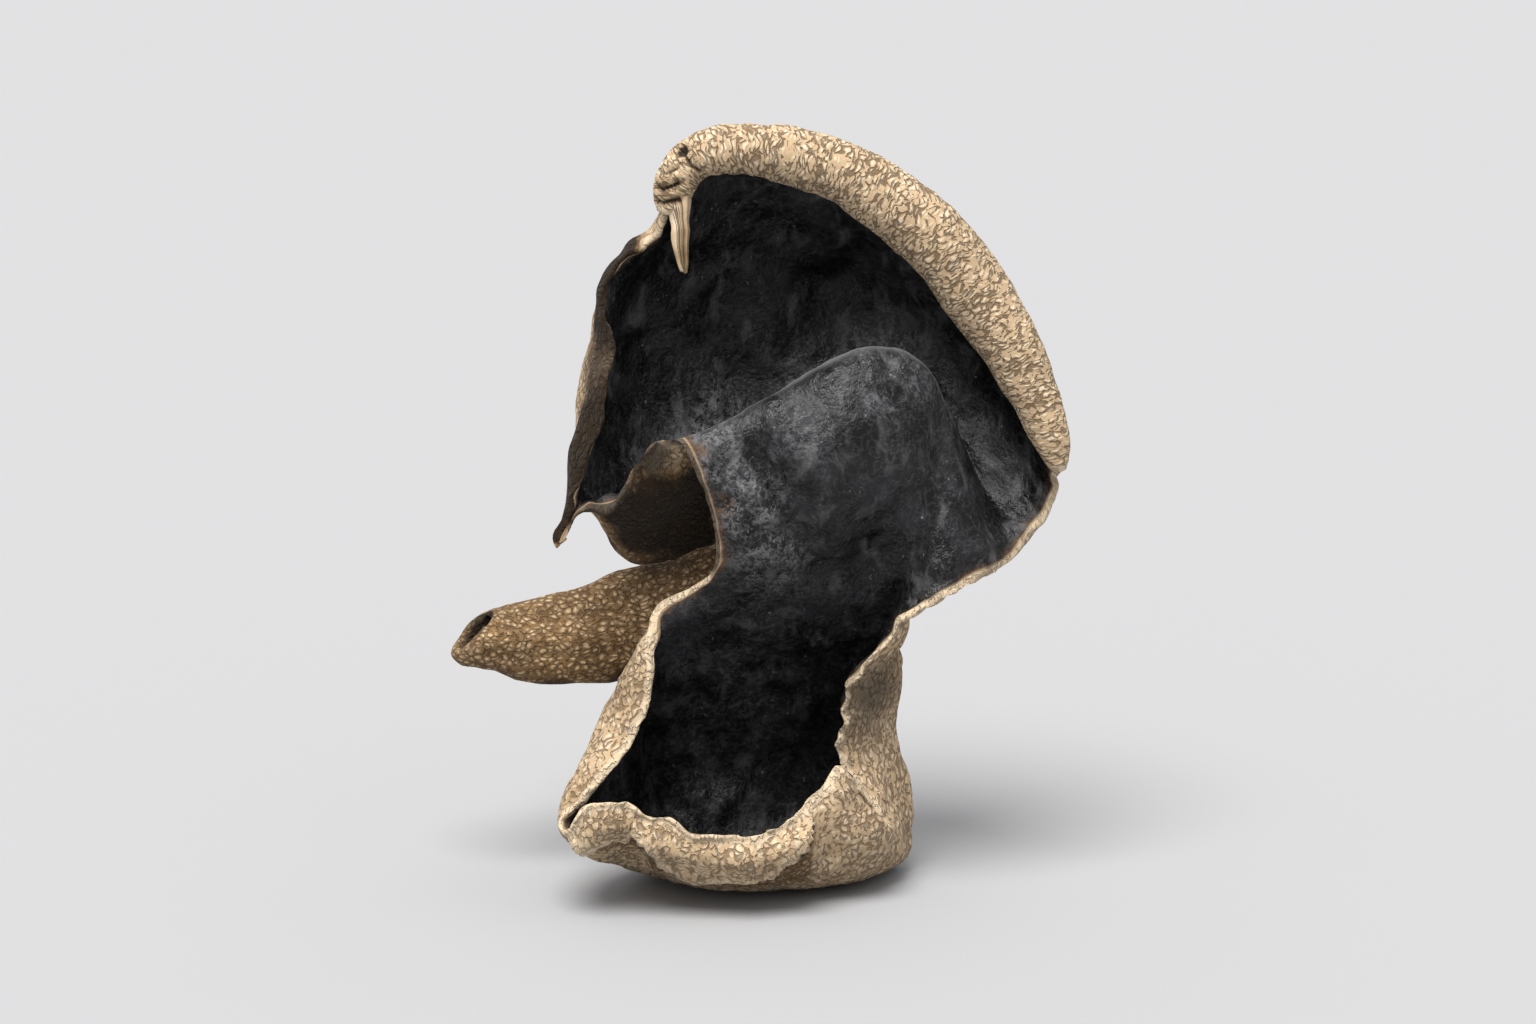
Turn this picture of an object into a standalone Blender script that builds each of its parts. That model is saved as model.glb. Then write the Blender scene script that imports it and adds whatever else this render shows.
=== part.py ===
"""A dried wood ear mushroom: one crumpled sheet of jelly fungus, felted on its back and smooth on its face.

The ear stands on the scoop of its lower flap, +Z up, and its smooth face looks towards -Y.
The origin is on the floor, at the middle of the ear's footprint.
"""
import math

import bmesh
import bpy
from mathutils import Vector

MM = 0.001

# Driving dimensions, in millimetres
SHEET_THICKNESS = 1.0
ROLL_START_DEG = -95.0
ROLL_END_DEG = 200.0
ROLL_STEPS = 4
ROLL_TIGHTENING = 0.22
FLOOR_BLOCK = 90.0

FELT_COLOUR = (0.43, 0.33, 0.21, 1.0)
FELT_ROUGHNESS = 0.9

# The rolled top margin, from the folded-down stub on the left to its right end: centre x, y, z and radius
ROLL_CENTRES = [
    (-7.3, -0.6, 46.2, 1.3),
    (-6.6, -0.2, 50.2, 1.8),
    (-2.2, 0.4, 50.6, 2.2),
    (2.6, 0.8, 49.7, 2.6),
    (7.4, 1.0, 47.2, 2.9),
    (11.2, 1.0, 43.7, 3.1),
    (14.5, 0.7, 39.3, 3.0),
    (17.3, 0.2, 33.8, 2.3),
    (19.2, -0.4, 28.6, 0.9),
]

# Sections of the sheet below the roll, each from the left margin to the right: x, y, z.
# The cleft in the left margin has no points, so the ridge's face starts at its fourth place.
UPPER_WALL = [
    (-8.2, 1.0, 44.2), (-5.8, 3.6, 45.8), (-2.4, 6.6, 45.6), (1.6, 7.0, 44.8), (5.6, 8.7, 43.0),
    (9.4, 7.3, 40.2), (12.8, 7.3, 36.6), (16.2, 5.0, 31.8), (19.2, 3.0, 26.0),
]
MIDDLE_WALL = [
    (-13.0, -0.6, 41.4), (-10.0, 3.6, 42.0), (-5.0, 8.0, 41.6), (-0.4, 8.6, 41.0), (4.2, 10.7, 39.6),
    (8.4, 8.4, 37.4), (12.2, 7.9, 34.0), (15.4, 4.8, 29.4), (18.2, 2.0, 24.2),
]
LOWER_WALL = [
    (-9.8, -3.8, 36.4), (-14.4, 0.0, 36.8), (-11.0, 6.1, 35.2), (-5.4, 7.6, 34.6), (0.2, 9.8, 34.8),
    (5.6, 7.7, 35.0), (10.4, 7.8, 32.4), (14.0, 4.4, 27.4), (16.4, 0.6, 22.6),
]
HOOD_FLOOR = [
    (-12.8, -3.8, 30.2), (-14.6, -0.4, 28.0), (-12.0, 3.0, 19.4), (-7.4, 4.6, 16.4), (-2.0, 5.2, 22.8),
    (3.4, 5.2, 28.4), (9.0, 4.9, 30.2), (13.0, 3.0, 26.2), (15.0, -1.0, 21.8),
]
RIDGE_CREST = [
    (-15.4, -5.0, 23.2), (-13.4, -4.8, 26.8), (-9.8, -4.4, 28.9), (-6.6, -6.0, 33.0), (-2.0, -5.6, 36.0),
    (3.4, -4.6, 38.6), (8.6, -2.2, 40.6), (12.6, -0.4, 33.5), (13.2, -3.2, 21.6),
]
RIDGE_FACE = [
    None, None, None, (-4.4, -5.4, 27.6), (-0.4, -7.4, 29.8),
    (4.2, -6.8, 31.4), (8.6, -4.8, 32.0), (11.8, -2.0, 26.4), (10.8, -4.8, 20.4),
]
RIDGE_FOOT = [
    (-8.6, -2.6, 19.0), (-7.0, -2.8, 20.6), (-5.2, -3.2, 21.8), (-3.4, -4.2, 23.8), (-0.2, -6.0, 25.2),
    (3.8, -5.8, 26.4), (7.8, -3.8, 26.2), (10.6, -0.8, 22.2), (8.0, -4.2, 18.4),
]
WAIST = [
    (-8.4, -4.6, 14.8), (-10.4, -2.2, 15.6), (-7.4, -0.6, 17.2), (-4.0, -1.4, 18.8), (-0.4, -2.2, 19.8),
    (3.4, -1.8, 20.4), (7.0, 0.0, 20.2), (9.4, 1.0, 17.6), (5.0, -3.6, 15.2),
]
SCOOP_BACK = [
    (-10.2, -6.4, 10.0), (-13.0, -3.2, 11.2), (-9.4, 1.8, 12.0), (-5.6, 4.5, 12.8), (-1.8, 3.7, 13.4),
    (2.0, 5.1, 13.8), (5.8, 4.2, 14.0), (8.6, 2.0, 13.0), (3.4, -4.0, 11.0),
]
SCOOP_HEEL = [
    (-14.2, -7.6, 8.0), (-15.6, -4.0, 6.8), (-11.4, 3.2, 5.4), (-6.8, 8.0, 4.8), (-2.4, 8.6, 4.8),
    (2.2, 10.4, 5.0), (7.0, 8.8, 5.4), (10.2, 4.6, 6.6), (5.4, -3.4, 7.4),
]
SCOOP_SOLE = [
    (-15.2, -8.4, 6.2), (-14.2, -4.2, 3.4), (-10.8, 1.4, 1.0), (-6.8, 5.2, -0.7), (-2.2, 6.8, -0.75),
    (2.6, 7.2, -0.75), (7.2, 6.4, -0.6), (10.6, 2.6, 1.6), (7.6, -3.6, 5.2),
]
SCOOP_INSTEP = [
    (-14.6, -9.2, 6.0), (-13.2, -6.0, 3.4), (-10.2, -2.0, 1.8), (-6.6, -0.9, 0.3), (-2.4, -0.6, 0.3),
    (2.0, -0.4, 0.3), (6.6, -0.4, 0.4), (9.8, -1.2, 2.4), (7.0, -5.0, 5.8),
]
SCOOP_TOE = [
    (-13.4, -10.0, 6.0), (-12.0, -7.8, 4.0), (-9.4, -5.2, 4.4), (-6.4, -6.6, 1.4), (-2.6, -7.4, 1.0),
    (1.4, -6.8, 1.2), (5.2, -5.6, 1.4), (8.0, -4.8, 3.8), (6.2, -6.6, 6.8),
]
FRONT_RIM = [
    (-13.4, -10.8, 7.6), (-11.0, -11.0, 8.2), (-8.8, -9.0, 7.6), (-6.2, -10.6, 6.4), (-3.4, -10.8, 5.6),
    (-0.8, -10.0, 6.0), (1.8, -8.8, 7.4), (3.6, -7.6, 9.2), (4.4, -6.8, 10.6),
]
SECTIONS = [
    UPPER_WALL, MIDDLE_WALL, LOWER_WALL, HOOD_FLOOR, RIDGE_CREST, RIDGE_FACE, RIDGE_FOOT,
    WAIST, SCOOP_BACK, SCOOP_HEEL, SCOOP_SOLE, SCOOP_INSTEP, SCOOP_TOE, FRONT_RIM,
]

# The sharp fold along the ridge's crest, from its first to its last place
CREST_ROW = ROLL_STEPS + 1 + SECTIONS.index(RIDGE_CREST)
CREST_COLUMNS = (3, 7)
CREST_CREASE = 0.32

# The felted base that the ear grew from, from its root on the back to its torn tip: centre x, y, z and radius
HORN_RINGS = [
    (1.4, -0.4, 21.0, 3.0),
    (0.0, 2.8, 20.2, 3.5),
    (-4.6, 4.8, 18.5, 3.8),
    (-10.0, 4.8, 16.9, 3.6),
    (-15.6, 3.8, 15.9, 3.0),
    (-21.2, 2.4, 16.0, 2.2),
]
HORN_ROOT = (1.2, -2.4, 21.4)
HORN_MOUTH_FACING = (-0.6, -0.35, 0.72)
HORN_MOUTH_RISE = 0.6
HORN_WALL = 1.1
HORN_HOLLOW_RINGS = 3
BACK_FACING = 0.3


def in_metres(point):
    """A point given in millimetres, as a vector in metres."""
    return Vector(point[:3]) * MM


def roll_rows():
    """Rows of points round the top roll, from its loose inner edge back to the wall that it grows from."""
    centres = [in_metres(entry) for entry in ROLL_CENTRES]
    radii = [entry[3] * MM for entry in ROLL_CENTRES]
    front = Vector((0.0, -1.0, 0.0))
    rows = []
    for step in range(ROLL_STEPS + 1):
        share = step / ROLL_STEPS
        angle = math.radians(ROLL_END_DEG + (ROLL_START_DEG - ROLL_END_DEG) * share)
        shrink = 1.0 - ROLL_TIGHTENING * (1.0 - share)
        row = []
        for index, centre in enumerate(centres):
            before = centres[max(index - 1, 0)]
            after = centres[min(index + 1, len(centres) - 1)]
            along = (after - before).normalized()
            outward = front.cross(along).normalized()
            offset = outward * math.cos(angle) + front * math.sin(angle)
            row.append(centre + offset * radii[index] * shrink)
        rows.append(row)
    return rows


def sheet_rows():
    """All rows of the sheet's cage, from the inside of the top roll to the front rim of the scoop."""
    sections = [[point and in_metres(point) for point in section] for section in SECTIONS]
    return roll_rows() + sections


def make_mesh_object(name, mesh, collection):
    thing = bpy.data.objects.new(name, mesh)
    collection.objects.link(thing)
    return thing


def make_sheet_cage(collection):
    """The open sheet: one quad between four neighbouring points, with none across the cleft."""
    shape = bmesh.new()
    grid = [[point and shape.verts.new(point) for point in row] for row in sheet_rows()]
    for upper, lower in zip(grid, grid[1:]):
        for column in range(len(upper) - 1):
            corners = [upper[column], lower[column], lower[column + 1], upper[column + 1]]
            if all(corners):
                shape.faces.new(corners)
    crease_crest(shape, grid[CREST_ROW])
    mesh = bpy.data.meshes.new("sheet_cage")
    shape.to_mesh(mesh)
    shape.free()
    return make_mesh_object("sheet_cage", mesh, collection)


def crease_crest(shape, crest):
    """Sharpen the fold along the ridge's crest."""
    first, last = CREST_COLUMNS
    on_crest = set(crest[first:last + 1])
    layer = shape.edges.layers.float.new("crease_edge")
    for edge in shape.edges:
        if set(edge.verts) <= on_crest:
            edge[layer] = CREST_CREASE


def add_subdivision(thing):
    subdivision = thing.modifiers.new("soften", "SUBSURF")
    subdivision.levels = 1
    subdivision.render_levels = 1


def thicken(thing):
    add_subdivision(thing)
    wall = thing.modifiers.new("wall", "SOLIDIFY")
    wall.thickness = SHEET_THICKNESS * MM
    wall.offset = 0.0
    wall.use_even_offset = False


def evaluated_copy(thing, name):
    graph = bpy.context.evaluated_depsgraph_get()
    mesh = bpy.data.meshes.new_from_object(thing.evaluated_get(graph))
    mesh.name = name
    crease = mesh.attributes.get("crease_edge")
    if crease:
        mesh.attributes.remove(crease)
    return mesh


def nearest_back_vertex(shape, point):
    """The vertex nearest to the point among those whose surface faces the back, +Y."""
    shape.normal_update()
    behind = [vertex for vertex in shape.verts if vertex.normal.y > BACK_FACING]
    return min(behind, key=lambda vertex: (vertex.co - point).length)


def extrude_patch(shape, faces):
    """Lift a patch of faces off the surface, and return the lifted faces and their corners."""
    lifted = bmesh.ops.extrude_face_region(shape, geom=faces)["geom"]
    bmesh.ops.delete(shape, geom=faces, context="FACES")
    patch = [item for item in lifted if isinstance(item, bmesh.types.BMFace)]
    corners = {vertex for face in patch for vertex in face.verts}
    return patch, corners


def arms_round(corners, middle, facing):
    """Each corner's arm from the middle of the patch, flat across the way the patch faces."""
    arms = {}
    for corner in corners:
        arm = corner.co - middle
        arms[corner] = arm - arm.dot(facing) * facing
    return arms


def lift_ring(shape, patch, centre, radius, facing):
    """Extrude the patch once more, so that its edge becomes a round ring at the given place."""
    middle = sum((face.calc_center_median() for face in patch), Vector()) / len(patch)
    old_facing = sum((face.normal for face in patch), Vector()).normalized()
    patch, corners = extrude_patch(shape, patch)
    turn = old_facing.rotation_difference(facing)
    arms = arms_round(corners, middle, old_facing)
    hub = min(corners, key=lambda corner: arms[corner].length)
    for corner, arm in arms.items():
        reach = 0.0 if corner is hub else radius
        corner.co = centre + turn @ (arm.normalized() * reach)
    for face in patch:
        face.normal_update()
    return patch


def grow_horn(mesh):
    """Draw the felted base out of the back of the sheet ring by ring, then hollow it from its torn mouth."""
    shape = bmesh.new()
    shape.from_mesh(mesh)
    root = nearest_back_vertex(shape, in_metres(HORN_ROOT))
    patch = list(root.link_faces)
    centres = [in_metres(ring) for ring in HORN_RINGS]
    radii = [ring[3] * MM for ring in HORN_RINGS]
    behind = root.co.copy()
    for index, centre in enumerate(centres):
        ahead = centres[min(index + 1, len(centres) - 1)]
        patch = lift_ring(shape, patch, centre, radii[index], (ahead - behind).normalized())
        behind = centre
    mouth = Vector(HORN_MOUTH_FACING).normalized()
    bore = [radius - HORN_WALL * MM for radius in radii]
    patch = lift_ring(shape, patch, centres[-1] + mouth * bore[-1] * HORN_MOUTH_RISE, bore[-1], mouth)
    for index in reversed(range(len(centres) - HORN_HOLLOW_RINGS, len(centres))):
        facing = (centres[index] - centres[index - 1]).normalized()
        patch = lift_ring(shape, patch, centres[index], bore[index], facing)
    shape.to_mesh(mesh)
    shape.free()


def make_floor_cutter():
    """A block whose top is the floor: what it takes off leaves the flat spots that the ear stands on."""
    guides = bpy.data.collections.new("guides")
    bpy.context.scene.collection.children.link(guides)
    side = FLOOR_BLOCK * MM
    bpy.ops.mesh.primitive_cube_add(size=side, location=(0.0, 0.0, -side / 2))
    block = bpy.context.object
    block.name = "floor_block"
    block.hide_render = True
    block.display_type = "WIRE"
    for owner in list(block.users_collection):
        owner.objects.unlink(block)
    guides.objects.link(block)
    return block


def stand_on_floor(ear, floor_block):
    cut = ear.modifiers.new("stand", "BOOLEAN")
    cut.operation = "DIFFERENCE"
    cut.object = floor_block


def felt_material():
    """Sandy felt: the colour of the ear's back and of its rolled margins."""
    felt = bpy.data.materials.new("ear_felt")
    felt.use_nodes = True
    shader = felt.node_tree.nodes["Principled BSDF"]
    shader.inputs["Base Color"].default_value = FELT_COLOUR
    shader.inputs["Roughness"].default_value = FELT_ROUGHNESS
    shader.inputs["Metallic"].default_value = 0.0
    return felt


def clear_scene():
    for thing in list(bpy.data.objects):
        bpy.data.objects.remove(thing)


def main():
    clear_scene()
    collection = bpy.data.collections.new("dried_wood_ear")
    bpy.context.scene.collection.children.link(collection)
    cage = make_sheet_cage(collection)
    thicken(cage)
    ear_mesh = evaluated_copy(cage, "wood_ear")
    bpy.data.objects.remove(cage)
    grow_horn(ear_mesh)
    ear = make_mesh_object("wood_ear", ear_mesh, collection)
    ear.data.materials.append(felt_material())
    add_subdivision(ear)
    stand_on_floor(ear, make_floor_cutter())


main()
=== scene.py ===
"""A dried wood ear mushroom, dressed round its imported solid: sandy felt behind and black skin in front."""

import heapq
import math

import bmesh
import bpy
import numpy as np
from bpy.props import FloatProperty, FloatVectorProperty, PointerProperty
from bpy.types import Operator, Panel, PropertyGroup
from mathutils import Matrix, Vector, noise


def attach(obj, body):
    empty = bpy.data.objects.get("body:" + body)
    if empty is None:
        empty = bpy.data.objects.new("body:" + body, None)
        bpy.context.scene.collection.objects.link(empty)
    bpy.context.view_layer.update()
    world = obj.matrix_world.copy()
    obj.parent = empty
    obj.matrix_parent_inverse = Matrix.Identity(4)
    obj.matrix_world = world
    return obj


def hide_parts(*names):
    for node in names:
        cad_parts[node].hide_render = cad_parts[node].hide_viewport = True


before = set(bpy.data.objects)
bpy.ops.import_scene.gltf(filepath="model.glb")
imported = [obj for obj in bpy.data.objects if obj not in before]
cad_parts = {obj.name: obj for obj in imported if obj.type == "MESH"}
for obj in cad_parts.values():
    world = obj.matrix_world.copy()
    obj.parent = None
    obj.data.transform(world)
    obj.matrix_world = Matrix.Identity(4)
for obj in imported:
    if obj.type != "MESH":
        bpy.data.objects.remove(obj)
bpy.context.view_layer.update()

bl_info = {
    "name": "Dried Wood Ear",
    "version": (1, 0, 0),
    "blender": (4, 5, 0),
    "location": "View3D > Sidebar > Wood Ear",
    "description": "Models a dried wood ear mushroom with its felted back, black face and torn base",
    "category": "Add Mesh",
}

MM = 0.001

# Form of the ear. Lengths and places are in millimetres, and x, y and z are those of the frame.
ROLL_START_DEG = -95.0
ROLL_END_DEG = 200.0
ROLL_STEPS = 4
ROLL_TIGHTENING = 0.22

# How often the cage's faces are quartered before the sheet gets its wall, and how often afterwards
CAGE_LEVELS = 1
SURFACE_LEVELS = 3

# The rolled top margin, from the folded-down stub on the left to its right end: centre x, y, z and radius
ROLL_CENTRES = [
    (-7.3, -0.6, 46.2, 1.3),
    (-6.6, -0.2, 50.2, 1.8),
    (-2.2, 0.4, 50.6, 2.2),
    (2.6, 0.8, 49.7, 2.6),
    (7.4, 1.0, 47.2, 2.9),
    (11.2, 1.0, 43.7, 3.1),
    (14.5, 0.7, 39.3, 3.0),
    (17.3, 0.2, 33.8, 2.3),
    (19.2, -0.4, 28.6, 0.9),
]

# Sections of the sheet below the roll, each from the left margin to the right: x, y, z.
# The cleft in the left margin has no points, so the ridge's face starts at its fourth place.
UPPER_WALL = [
    (-8.2, 1.0, 44.2), (-5.8, 3.6, 45.8), (-2.4, 6.6, 45.6), (1.6, 7.0, 44.8), (5.6, 8.7, 43.0),
    (9.4, 7.3, 40.2), (12.8, 7.3, 36.6), (16.2, 5.0, 31.8), (19.2, 3.0, 26.0),
]
MIDDLE_WALL = [
    (-13.0, -0.6, 41.4), (-10.0, 3.6, 42.0), (-5.0, 8.0, 41.6), (-0.4, 8.6, 41.0), (4.2, 10.7, 39.6),
    (8.4, 8.4, 37.4), (12.2, 7.9, 34.0), (15.4, 4.8, 29.4), (18.2, 2.0, 24.2),
]
LOWER_WALL = [
    (-9.8, -3.8, 36.4), (-14.4, 0.0, 36.8), (-11.0, 6.1, 35.2), (-5.4, 7.6, 34.6), (0.2, 9.8, 34.8),
    (5.6, 7.7, 35.0), (10.4, 7.8, 32.4), (14.0, 4.4, 27.4), (16.4, 0.6, 22.6),
]
HOOD_FLOOR = [
    (-12.8, -3.8, 30.2), (-14.6, -0.4, 28.0), (-12.0, 3.0, 19.4), (-7.4, 4.6, 16.4), (-2.0, 5.2, 22.8),
    (3.4, 5.2, 28.4), (9.0, 4.9, 30.2), (13.0, 3.0, 26.2), (15.0, -1.0, 21.8),
]
RIDGE_CREST = [
    (-15.4, -5.0, 23.2), (-13.4, -4.8, 26.8), (-9.8, -4.4, 28.9), (-6.6, -6.0, 33.0), (-2.0, -5.6, 36.0),
    (3.4, -4.6, 38.6), (8.6, -2.2, 40.6), (12.6, -0.4, 33.5), (13.2, -3.2, 21.6),
]
RIDGE_FACE = [
    None, None, None, (-4.4, -5.4, 27.6), (-0.4, -7.4, 29.8),
    (4.2, -6.8, 31.4), (8.6, -4.8, 32.0), (11.8, -2.0, 26.4), (10.8, -4.8, 20.4),
]
RIDGE_FOOT = [
    (-8.6, -2.6, 19.0), (-7.0, -2.8, 20.6), (-5.2, -3.2, 21.8), (-3.4, -4.2, 23.8), (-0.2, -6.0, 25.2),
    (3.8, -5.8, 26.4), (7.8, -3.8, 26.2), (10.6, -0.8, 22.2), (8.0, -4.2, 18.4),
]
WAIST = [
    (-8.4, -4.6, 14.8), (-10.4, -2.2, 15.6), (-7.4, -0.6, 17.2), (-4.0, -1.4, 18.8), (-0.4, -2.2, 19.8),
    (3.4, -1.8, 20.4), (7.0, 0.0, 20.2), (9.4, 1.0, 17.6), (5.0, -3.6, 15.2),
]
SCOOP_BACK = [
    (-10.2, -6.4, 10.0), (-13.0, -3.2, 11.2), (-9.4, 1.8, 12.0), (-5.6, 4.5, 12.8), (-1.8, 3.7, 13.4),
    (2.0, 5.1, 13.8), (5.8, 4.2, 14.0), (8.6, 2.0, 13.0), (3.4, -4.0, 11.0),
]
SCOOP_HEEL = [
    (-14.2, -7.6, 8.0), (-15.6, -4.0, 6.8), (-11.4, 3.2, 5.4), (-6.8, 8.0, 4.8), (-2.4, 8.6, 4.8),
    (2.2, 10.4, 5.0), (7.0, 8.8, 5.4), (10.2, 4.6, 6.6), (5.4, -3.4, 7.4),
]
SCOOP_SOLE = [
    (-15.2, -8.4, 6.2), (-14.2, -4.2, 3.4), (-10.8, 1.4, 1.0), (-6.8, 5.2, -0.7), (-2.2, 6.8, -0.75),
    (2.6, 7.2, -0.75), (7.2, 6.4, -0.6), (10.6, 2.6, 1.6), (7.6, -3.6, 5.2),
]
SCOOP_INSTEP = [
    (-14.6, -9.2, 6.0), (-13.2, -6.0, 3.4), (-10.2, -2.0, 1.8), (-6.6, -0.9, 0.3), (-2.4, -0.6, 0.3),
    (2.0, -0.4, 0.3), (6.6, -0.4, 0.4), (9.8, -1.2, 2.4), (7.0, -5.0, 5.8),
]
SCOOP_TOE = [
    (-13.4, -10.0, 6.0), (-12.0, -7.8, 4.0), (-9.4, -5.2, 4.4), (-6.4, -6.6, 1.4), (-2.6, -7.4, 1.0),
    (1.4, -6.8, 1.2), (5.2, -5.6, 1.4), (8.0, -4.8, 3.8), (6.2, -6.6, 6.8),
]
FRONT_RIM = [
    (-13.4, -10.8, 7.6), (-11.0, -11.0, 8.2), (-8.8, -9.0, 7.6), (-6.2, -10.6, 6.4), (-3.4, -10.8, 5.6),
    (-0.8, -10.0, 6.0), (1.8, -8.8, 7.4), (3.6, -7.6, 9.2), (4.4, -6.8, 10.6),
]
SECTIONS = [
    UPPER_WALL, MIDDLE_WALL, LOWER_WALL, HOOD_FLOOR, RIDGE_CREST, RIDGE_FACE, RIDGE_FOOT,
    WAIST, SCOOP_BACK, SCOOP_HEEL, SCOOP_SOLE, SCOOP_INSTEP, SCOOP_TOE, FRONT_RIM,
]
COLUMNS = len(ROLL_CENTRES)
CREST_ROW = ROLL_STEPS + 1 + SECTIONS.index(RIDGE_CREST)
FLAP_ROW = ROLL_STEPS + 1 + SECTIONS.index(LOWER_WALL)
HEM_ROW = ROLL_STEPS + 1 + SECTIONS.index(SCOOP_TOE)

# The sharp part of the ridge's crest: its first and last column, and how sharp it is
CREST_COLUMNS = (3, 7)
CREST_CREASE = 0.32

# The felted base that the ear grew from, from its root to its torn mouth: centre x, y, z and radius
HORN_RINGS = [
    (1.4, -0.4, 21.0, 3.0),
    (0.0, 2.8, 20.2, 3.5),
    (-4.6, 4.8, 18.5, 3.8),
    (-10.0, 4.8, 16.9, 3.6),
    (-15.6, 3.8, 15.9, 3.0),
    (-20.5, 2.6, 16.6, 2.5),
]
HORN_ROOT = (1.2, -2.4, 21.4)
# Which way the torn mouth looks, how much of the base's own heading it keeps, and how far its lip bulges
HORN_MOUTH_FACING = (-0.5, -0.15, 0.85)
HORN_MOUTH_HEADING = 0.35
HORN_MOUTH_RISE = 0.15
HORN_WALL = 0.7
HORN_HOLLOW_RINGS = 3
# How nearly a vertex must face the wanted way before a form is drawn out of it
LEAST_FACING = 0.3

# The dried shred that hangs from the stub's inner edge: centre x, y, z and radius
SHRED_ROOT = (-6.3, -1.2, 45.6)
SHRED_RINGS = [
    (-6.3, -1.5, 45.0, 0.55),
    (-6.35, -1.7, 44.0, 0.42),
    (-6.2, -1.8, 43.1, 0.26),
    (-6.15, -1.8, 42.5, 0.1),
]

# Valleys pressed into the sheet from the front, as lines of x, z points with a width and a depth
VALLEYS = [
    ([(-1.6, 31.0), (-0.4, 29.6), (1.2, 27.2), (2.4, 23.0)], 1.3, 1.0),
    ([(13.0, 35.5), (10.6, 30.0), (7.6, 26.0), (5.4, 22.5)], 1.5, 0.7),
    ([(-8.8, 9.5), (-8.4, 6.6), (-7.6, 3.6)], 0.8, 0.9),
]
# Swells pushed out to the front: x, z, reach and height
SWELLS = [(-3.4, 25.5, 2.0, 0.6), (5.0, 30.0, 3.0, 0.5), (-4.2, 3.4, 2.0, 0.5), (-11.5, 5.6, 1.6, 0.4)]
# Folds that run out from the base: their x, z centre, how closely they follow round it, length and height
FOLD_CENTRE = (1.2, 21.4)
FOLDS_ROUND = 2.5
FOLD_LENGTH = 14.0
FOLD_HEIGHT = 1.2

# Shifts of the ridge's lip and of the valley behind it: the place, the move and the reach
NUDGES = [
    ((-11.2, -4.6, 28.8), (0.0, 0.0, -1.7), 1.6),
    ((-15.0, -4.9, 24.6), (-0.4, 0.0, -1.0), 2.2),
    ((-8.0, -5.0, 31.0), (0.0, 0.0, 0.5), 1.2),
    ((-13.2, -4.8, 27.0), (0.0, -0.4, 0.2), 1.0),
    ((-2.8, 2.2, 25.2), (0.0, 0.0, -2.3), 2.5),
    ((-5.4, 2.4, 23.6), (0.0, 0.0, -2.0), 3.2),
    ((-10.4, 1.6, 23.4), (0.0, 0.0, -2.0), 3.0),
]

# The turned-over hem of the scoop's front rim: how deep it reaches down at each place across
HEM_PLACES = (-14.0, -12.6, -11.0, -9.6, -8.8, -8.0, -6.0, -4.2, -2.0, 0.0, 1.6, 3.0)
HEM_DEPTHS = (0.2, 2.2, 3.4, 3.0, 1.2, 3.2, 4.4, 4.8, 4.2, 3.4, 2.2, 0.2)

# Pits and creases pressed into the front of the roll, as lines of x, z points with a width and a depth
PITS = [
    ([(-6.5, 50.9), (-6.4, 50.7)], 0.42, 0.9),
    ([(-6.4, 50.6), (-5.7, 49.7), (-5.0, 49.0)], 0.28, 0.34),
    ([(-7.9, 50.2), (-6.6, 50.4)], 0.25, 0.2),
    ([(-8.9, 49.4), (-7.6, 49.1), (-6.6, 49.5)], 0.24, 0.34),
    ([(-9.1, 48.4), (-7.8, 48.0), (-6.5, 48.4)], 0.24, 0.4),
    ([(-9.1, 47.4), (-7.8, 47.0), (-6.4, 47.3)], 0.24, 0.36),
]

# Greyer patches on the felt: x, y, z, reach and strength
GREY_PATCHES = [
    (-12.4, -1.8, 36.2, 2.0, 0.55), (-11.6, -3.4, 36.4, 1.6, 0.55), (-11.5, -5.0, 28.0, 2.2, 1.1),
    (-8.5, -5.0, 30.5, 1.8, 1.0), (-6.4, -6.0, 32.4, 1.6, 1.1), (-4.8, -6.2, 30.0, 2.0, 1.2),
    (-4.2, -5.5, 26.6, 2.2, 1.3), (-3.8, -4.5, 24.0, 1.8, 1.1),
    (6.6, -2.0, 13.4, 4.0, 0.62), (6.0, -6.0, 8.5, 3.0, 0.4), (16.5, 0.0, 24.0, 3.5, 0.45),
]

# Browner places on the felt from the stub down to the scoop, and painted shade under the ridge's lip, in the
# hollow behind the cleft and along the underside of the felted base: x, y, z, reach and strength
BROWN_AND_SHADE_PLACES = [
    (-7.6, -1.5, 48.0, 1.6, 0.4), (-6.3, -1.7, 43.6, 1.6, 0.8), (-5.5, -1.0, 28.5, 3.0, 2.2),
    (-8.6, -1.5, 28.0, 3.0, 2.2), (-14.4, -4.2, 26.6, 1.8, 1.5), (-10.6, -2.4, 26.0, 1.8, 1.6),
    (-6.0, 0.0, 26.0, 2.4, 1.8), (-8.6, -0.6, 24.8, 2.8, 2.0), (-6.0, 1.5, 24.0, 2.6, 1.8),
    (-11.8, 2.0, 23.8, 2.4, 1.6), (-8.6, 3.2, 23.4, 3.2, 1.8), (-3.0, -0.5, 21.5, 3.0, 1.3),
    (9.0, 1.0, 15.0, 5.0, 0.5), (-11.6, -4.0, 14.5, 4.0, 0.45), (-5.6, 3.2, 13.6, 2.8, 1.7),
    (-10.0, 3.6, 12.6, 2.6, 1.7), (-15.4, 3.0, 12.4, 2.4, 1.5), (-14.0, -6.0, 8.0, 3.0, 0.45),
    (8.0, 0.0, 5.0, 4.5, 0.4),
]
# How dark the hood's left margin is painted, and how much painted shade and brown the felt under the front
# rim's hem gets
MARGIN_DARKNESS = 1.5
BELOW_HEM_SHADE_AND_BROWN = 0.75

# Places where the black skin has torn away down to its brown ground: x, y, z, reach and strength
TORN_PLACES = [(-3.6, -5.6, 27.5, 1.5, 1.0), (-3.4, -4.4, 24.6, 1.3, 1.0), (-5.0, -6.0, 31.2, 0.9, 0.8)]

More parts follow.
